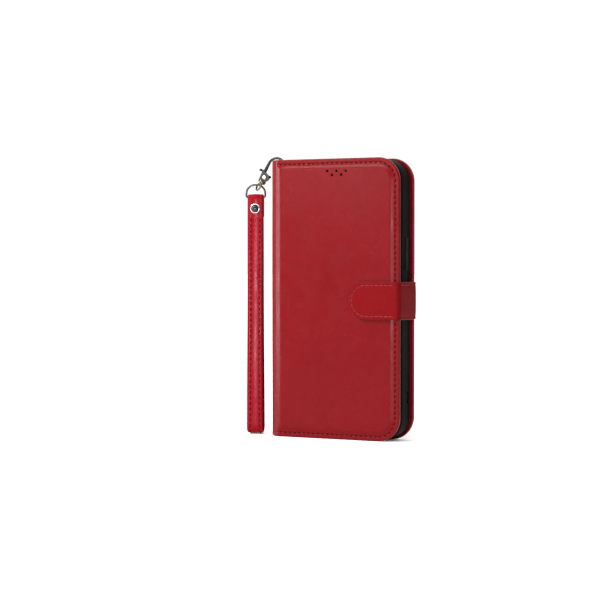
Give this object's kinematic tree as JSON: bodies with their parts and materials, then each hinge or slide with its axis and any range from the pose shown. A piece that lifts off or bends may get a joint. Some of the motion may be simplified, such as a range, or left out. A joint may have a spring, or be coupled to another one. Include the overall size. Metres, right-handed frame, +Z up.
{
  "type": "phone wallet case",
  "caption": "Folding leather wallet case for a large phone, closed, with a soft inner shell, card pockets, a magnetic side clasp and a wrist strap on a swivel hook.",
  "frame": {"origin": "on the bottom edge of the rear cover, at mid width and mid thickness of that cover", "axes": "+X towards the opening edge, +Y out of the back of the case, +Z up along the case"},
  "size_m": [0.1114, 0.0237, 0.1694],
  "materials": {
    "red_leather": "smooth waxy red split leather",
    "lining": "matt red lining leather",
    "strap_red": "glossy bright red strap leather",
    "board": "stiff fibre board",
    "foam": "thin foam sheet",
    "thread": "dark red sewing thread",
    "shell_black": "satin black soft plastic",
    "plain_steel": "plain steel",
    "gunmetal": "polished dark gunmetal",
    "bright_metal": "bright nickel",
    "swivel_metal": "polished bronze-tinted metal",
    "rivet_black": "gloss black enamel"
  },
  "bodies": {
    "rear": {"rear_cover_leather": "red_leather", "rear_board": "board", "rear_lining": "lining", "rear_stitching": "thread", "phone_shell": "shell_black", "rear_fold_leather": "red_leather", "clasp_root_fold": "red_leather"},
    "side_button": {"side_button_pad": "shell_black"},
    "volume_up": {"volume_up_pad": "shell_black"},
    "volume_down": {"volume_down_pad": "shell_black"},
    "spine": {"spine_leather": "red_leather", "spine_board": "board", "spine_lining": "lining", "front_fold_leather": "red_leather"},
    "front": {"front_cover_leather": "red_leather", "front_foam": "foam", "front_board": "board", "front_lining": "lining", "front_stitching": "thread", "cash_pocket": "lining", "card_slot_1": "lining", "card_slot_2": "lining", "card_slot_3": "lining", "pocket_stitching": "thread", "keeper_plate": "plain_steel"},
    "clasp_bridge": {"clasp_bridge_leather": "red_leather", "clasp_bridge_lining": "lining", "clasp_corner_fold": "red_leather"},
    "clasp_tab": {"clasp_tab_leather": "red_leather", "clasp_tab_board": "board", "clasp_tab_lining": "lining", "clasp_magnet": "plain_steel", "clasp_stitching": "thread"},
    "hook": {"hook_body": "gunmetal", "gate_rivet": "bright_metal", "gate_spring": "plain_steel"},
    "gate": {"hook_gate": "gunmetal"},
    "swivel": {"swivel_eye": "swivel_metal"},
    "ring": {"d_ring": "bright_metal"},
    "strap": {"strap_leather": "strap_red", "strap_stitching": "thread", "strap_rivet_cap": "rivet_black", "strap_rivet_rim": "bright_metal", "strap_rivet_post": "bright_metal"}
  },
  "joints": [
    {"name": "spine_fold", "type": "hinge", "parent": "rear", "child": "spine", "pos_m": [-0.0439, 0, 0.0835], "axis": [0, 0, -1], "range_deg": [0, 178], "deforming": ["rear_fold_leather"]},
    {"name": "cover_fold", "type": "hinge", "parent": "spine", "child": "front", "pos_m": [-0.0439, -0.0181, 0.0835], "axis": [0, 0, -1], "range_deg": [0, 178], "deforming": ["front_fold_leather"]},
    {"name": "clasp_root_bend", "type": "hinge", "parent": "rear", "child": "clasp_bridge", "pos_m": [0.0459, 0, 0.0827], "axis": [0, 0, 1], "range_deg": [0, 150], "deforming": ["clasp_root_fold"]},
    {"name": "clasp_tab_bend", "type": "hinge", "parent": "clasp_bridge", "child": "clasp_tab", "pos_m": [0.0459, -0.0212, 0.0827], "axis": [0, 0, 1], "range_deg": [0, 90], "deforming": ["clasp_corner_fold"]},
    {"name": "side_button_press", "type": "slide", "parent": "rear", "child": "side_button", "axis": [-1, 0, 0], "range_m": [0, 0.0004], "stiffness_N_per_m": 2500},
    {"name": "volume_up_press", "type": "slide", "parent": "rear", "child": "volume_up", "axis": [1, 0, 0], "range_m": [0, 0.0004], "stiffness_N_per_m": 2500},
    {"name": "volume_down_press", "type": "slide", "parent": "rear", "child": "volume_down", "axis": [1, 0, 0], "range_m": [0, 0.0004], "stiffness_N_per_m": 2500},
    {"name": "hook_swing", "type": "hinge", "parent": "spine", "child": "hook", "pos_m": [-0.0439, -0.00905, 0.1625], "axis": [0, 1, 0], "range_deg": [0, 120]},
    {"name": "gate_pivot", "type": "hinge", "parent": "hook", "child": "gate", "pos_m": [-0.0517, -0.00905, 0.1571], "axis": [0, -1, 0], "range_deg": [0, 25], "stiffness_Nm_per_rad": 0.004, "springref_deg": -28.65},
    {"name": "hook_swivel", "type": "hinge", "parent": "hook", "child": "swivel", "pos_m": [-0.0546, -0.00905, 0.154], "axis": [0.6561, 0, 0.7547], "continuous": true},
    {"name": "ring_swing", "type": "hinge", "parent": "swivel", "child": "ring", "pos_m": [-0.0587, -0.00905, 0.1526], "axis": [-0.9397, -0.342, 0], "range_deg": [-50, 50]},
    {"name": "strap_swing", "type": "hinge", "parent": "ring", "child": "strap", "pos_m": [-0.0587, -0.00905, 0.145], "axis": [-0.9397, -0.342, 0], "range_deg": [-75, 75]}
  ]
}
